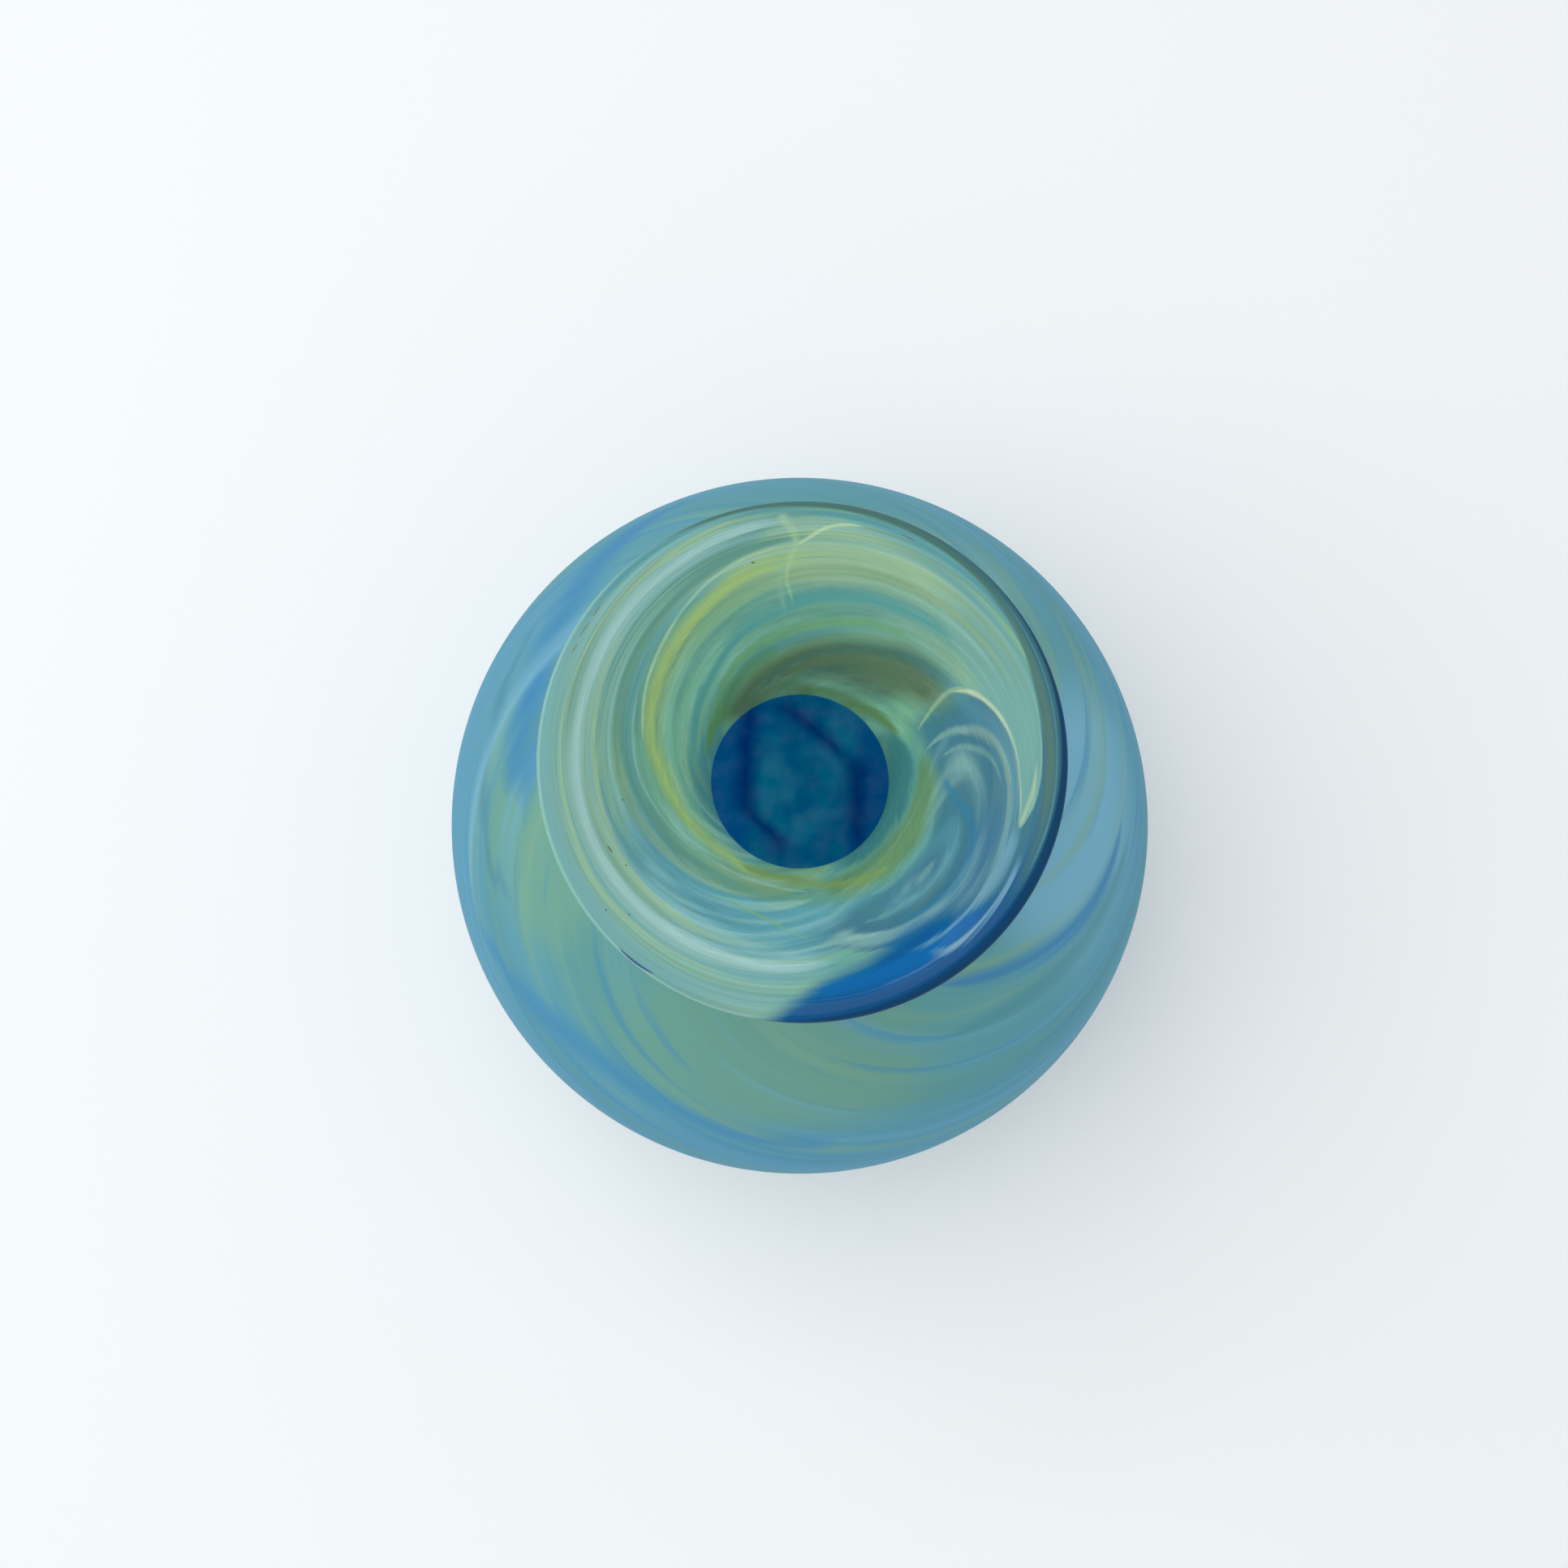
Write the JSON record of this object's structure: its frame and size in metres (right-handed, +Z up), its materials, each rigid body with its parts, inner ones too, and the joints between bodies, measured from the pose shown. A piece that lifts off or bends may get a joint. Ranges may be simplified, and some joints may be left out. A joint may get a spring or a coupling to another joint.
{
  "type": "hand blown glass vase",
  "caption": "Round-bodied hand blown glass vase with a pinched neck, a flared trumpet mouth and swirls of blue, yellow-green and white glass.",
  "frame": {"origin": "on the table, at the middle of the foot", "axes": "+Z up the vase's axis, out of the mouth; X and Y level, and any way round because the form is turned"},
  "size_m": [0.1396, 0.1396, 0.1644],
  "materials": {
    "satin_casing": "satin outer skin, soft swirls of pale blue, teal and yellow-green",
    "glossy_lining": "fire-polished inner skin, streaked yellow-green, teal, white and cobalt",
    "clear_wrap": "clear grey-green, fire-polished",
    "ground_pontil": "ground flat, matt",
    "cobalt": "solid colour laid between two gathers",
    "citron": "solid colour laid between two gathers",
    "opal": "solid colour laid between two gathers"
  },
  "bodies": {
    "root": {"outer_casing": "satin_casing", "inner_gather": "glossy_lining", "lip_wrap": "clear_wrap", "pontil_seal": "ground_pontil", "cobalt_trail_1": "cobalt", "cobalt_trail_2": "cobalt", "cobalt_trail_3": "cobalt", "citron_trail_1": "citron", "citron_trail_2": "citron", "citron_trail_3": "citron", "opal_trail_1": "opal", "opal_trail_2": "opal", "opal_trail_3": "opal"}
  },
  "joints": []
}
